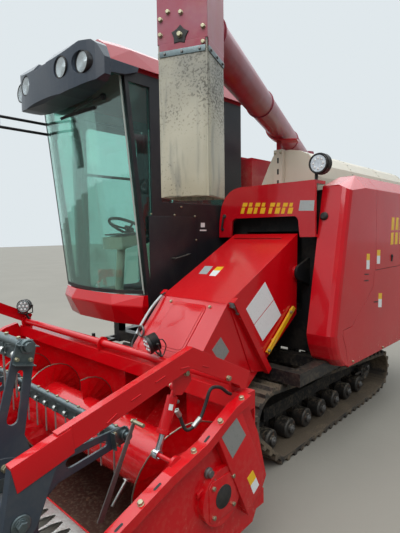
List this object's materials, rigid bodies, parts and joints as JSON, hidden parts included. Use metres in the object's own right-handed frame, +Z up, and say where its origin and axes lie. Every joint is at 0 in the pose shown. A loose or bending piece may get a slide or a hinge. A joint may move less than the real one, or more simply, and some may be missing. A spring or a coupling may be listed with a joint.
{
  "type": "tracked combine harvester",
  "caption": "Tracked combine harvester with cab, pick-up reel header, feeder house, grain tank and a swinging unloading tube.",
  "frame": {"origin": "on the ground under the middle of the whole machine", "axes": "+Z up, -Y forward, +X the machine's left side"},
  "size_m": [2.7954, 5.27, 2.99],
  "materials": {
    "red_paint": "gloss",
    "black_paint": "satin",
    "dark_grey_paint": "satin",
    "grey_paint": "satin",
    "zinc_steel": "satin",
    "cream_paint": "satin",
    "track_rubber": "dusty",
    "tinted_glass": "clear",
    "seat_cover": "matt",
    "cream_plastic": "matt",
    "yellow_paint": "gloss",
    "lamp_body": "satin",
    "faded_red_paint": "satin",
    "black_plastic": "satin"
  },
  "bodies": {
    "machine": {"chassis_frame": "black_paint", "drive_axle": "dark_grey_paint", "drive_sprockets": "dark_grey_paint", "rear_idlers": "dark_grey_paint", "ground_rollers": "dark_grey_paint", "track_frames": "black_paint", "track_left": "track_rubber", "track_right": "track_rubber", "rear_hitch": "black_paint", "cab_floor": "black_paint", "cab_frame": "black_paint", "windscreen": "tinted_glass", "side_glass": "tinted_glass", "cab_roof": "red_paint", "roof_visor": "black_plastic", "cab_bumper": "red_paint", "operator_seat": "seat_cover", "control_console": "cream_plastic", "mirrors": "black_paint", "boarding_steps": "black_paint", "thresher_body": "grey_paint", "thresher_hood": "cream_paint", "front_cover": "red_paint", "left_front_cover": "red_paint", "left_lower_cover": "red_paint", "straw_hood": "red_paint", "grain_tank": "red_paint", "engine_block": "dark_grey_paint", "exhaust_pipe": "dark_grey_paint", "fuel_tank": "black_plastic", "work_lamps": "lamp_body", "unloading_riser": "red_paint", "tube_rest": "cream_paint"},
    "header": {"feeder_house": "red_paint", "feeder_throat": "red_paint", "safety_lock": "yellow_paint", "header_frame": "red_paint", "header_left_end": "red_paint", "header_right_end": "red_paint", "cutter_bar": "dark_grey_paint"},
    "auger": {"header_auger": "red_paint"},
    "reel_carrier": {"reel_arms": "red_paint"},
    "reel": {"reel_rotor": "dark_grey_paint"},
    "tines_1": {"tine_bar_1": "zinc_steel"},
    "tines_2": {"tine_bar_2": "zinc_steel"},
    "tines_3": {"tine_bar_3": "zinc_steel"},
    "tines_4": {"tine_bar_4": "zinc_steel"},
    "tines_5": {"tine_bar_5": "zinc_steel"},
    "reel_barrel_left": {"reel_cylinder_left": "red_paint"},
    "reel_piston_left": {"reel_rod_left": "zinc_steel"},
    "reel_barrel_right": {"reel_cylinder_right": "red_paint"},
    "reel_piston_right": {"reel_rod_right": "zinc_steel"},
    "lift_barrel": {"lift_cylinder": "black_paint"},
    "lift_piston": {"lift_rod": "zinc_steel"},
    "door": {"cab_door": "black_paint", "door_glass": "tinted_glass"},
    "upper_door": {"left_upper_door": "red_paint"},
    "lid": {"tank_lid": "red_paint"},
    "screen": {"engine_screen": "black_paint"},
    "tube": {"unloading_tube": "faded_red_paint"}
  },
  "joints": [
    {"name": "header_lift", "type": "hinge", "parent": "machine", "child": "header", "pos_m": [0, 0.17504, 1.33], "axis": [-1, 0, 0], "range_deg": [0, 16]},
    {"name": "lift_barrel_tilt", "type": "hinge", "parent": "machine", "child": "lift_barrel", "pos_m": [0.29, 0.10504, 0.52], "axis": [-1, 0, 0], "range_deg": [-1, 17]},
    {"name": "lift_rod_slide", "type": "slide", "parent": "lift_barrel", "child": "lift_piston", "axis": [0, -0.9995, -0.0322], "range_m": [0, 0.2293]},
    {"name": "auger_spin", "type": "hinge", "parent": "header", "child": "auger", "pos_m": [0.025, -1.30496, 0.475], "axis": [1, 0, 0], "continuous": true},
    {"name": "reel_lift", "type": "hinge", "parent": "header", "child": "reel_carrier", "pos_m": [0.025, -1.06496, 0.903], "axis": [-1, 0, 0], "range_deg": [0, 12]},
    {"name": "reel_spin", "type": "hinge", "parent": "reel_carrier", "child": "reel", "pos_m": [0.025, -2.16496, 0.765], "axis": [1, 0, 0], "continuous": true},
    {"name": "tine_turn_1", "type": "hinge", "parent": "reel", "child": "tines_1", "pos_m": [0.025, -1.6549, 0.80962], "axis": [1, 0, 0], "continuous": true},
    {"name": "tine_turn_2", "type": "hinge", "parent": "reel", "child": "tines_2", "pos_m": [0.025, -2.04978, 1.26388], "axis": [1, 0, 0], "continuous": true},
    {"name": "tine_turn_3", "type": "hinge", "parent": "reel", "child": "tines_3", "pos_m": [0.025, -2.60383, 1.0287], "axis": [1, 0, 0], "continuous": true},
    {"name": "tine_turn_4", "type": "hinge", "parent": "reel", "child": "tines_4", "pos_m": [0.025, -2.55137, 0.4291], "axis": [1, 0, 0], "continuous": true},
    {"name": "tine_turn_5", "type": "hinge", "parent": "reel", "child": "tines_5", "pos_m": [0.025, -1.9649, 0.2937], "axis": [1, 0, 0], "continuous": true},
    {"name": "reel_barrel_tilt_left", "type": "hinge", "parent": "reel_carrier", "child": "reel_barrel_left", "pos_m": [1.147, -1.44496, 0.975], "axis": [-1, 0, 0], "range_deg": [-15, 1]},
    {"name": "reel_rod_slide_left", "type": "slide", "parent": "reel_barrel_left", "child": "reel_piston_left", "axis": [0, -0.3896, -0.921], "range_m": [0, 0.0825]},
    {"name": "reel_barrel_tilt_right", "type": "hinge", "parent": "reel_carrier", "child": "reel_barrel_right", "pos_m": [-1.097, -1.44496, 0.975], "axis": [-1, 0, 0], "range_deg": [-15, 1]},
    {"name": "reel_rod_slide_right", "type": "slide", "parent": "reel_barrel_right", "child": "reel_piston_right", "axis": [0, -0.3896, -0.921], "range_m": [0, 0.0825]},
    {"name": "cab_door_swing", "type": "hinge", "parent": "machine", "child": "door", "pos_m": [-1.144, 0.26704, 1.85], "axis": [0, 0, -1], "range_deg": [0, 75]},
    {"name": "upper_door_lift", "type": "hinge", "parent": "machine", "child": "upper_door", "pos_m": [0.962, 1.61104, 2.066], "axis": [0, -1, 0], "range_deg": [0, 70]},
    {"name": "tank_lid_lift", "type": "hinge", "parent": "machine", "child": "lid", "pos_m": [-1.114, 1.08504, 2.362], "axis": [0, -1, 0], "range_deg": [0, 100]},
    {"name": "screen_swing", "type": "hinge", "parent": "machine", "child": "screen", "pos_m": [-1.134, 1.90904, 1.09], "axis": [0, 0, -1], "range_deg": [0, 90]},
    {"name": "tube_swing", "type": "hinge", "parent": "machine", "child": "tube", "pos_m": [-0.195, 2.04504, 2.48], "axis": [0, 0, 1], "range_deg": [0, 160]}
  ],
  "couplings": [
    {"joint": "lift_barrel_tilt", "follows": "header_lift", "ratio": 0.97973},
    {"joint": "lift_rod_slide", "follows": "header_lift", "m_per_rad": 0.81025},
    {"joint": "tine_turn_1", "follows": "reel_spin", "ratio": -1},
    {"joint": "tine_turn_2", "follows": "reel_spin", "ratio": -1},
    {"joint": "tine_turn_3", "follows": "reel_spin", "ratio": -1},
    {"joint": "tine_turn_4", "follows": "reel_spin", "ratio": -1},
    {"joint": "tine_turn_5", "follows": "reel_spin", "ratio": -1},
    {"joint": "reel_barrel_tilt_left", "follows": "reel_lift", "ratio": -1.115},
    {"joint": "reel_barrel_tilt_right", "follows": "reel_lift", "ratio": -1.115},
    {"joint": "reel_rod_slide_left", "follows": "reel_lift", "m_per_rad": 0.3843},
    {"joint": "reel_rod_slide_right", "follows": "reel_lift", "m_per_rad": 0.3843}
  ]
}
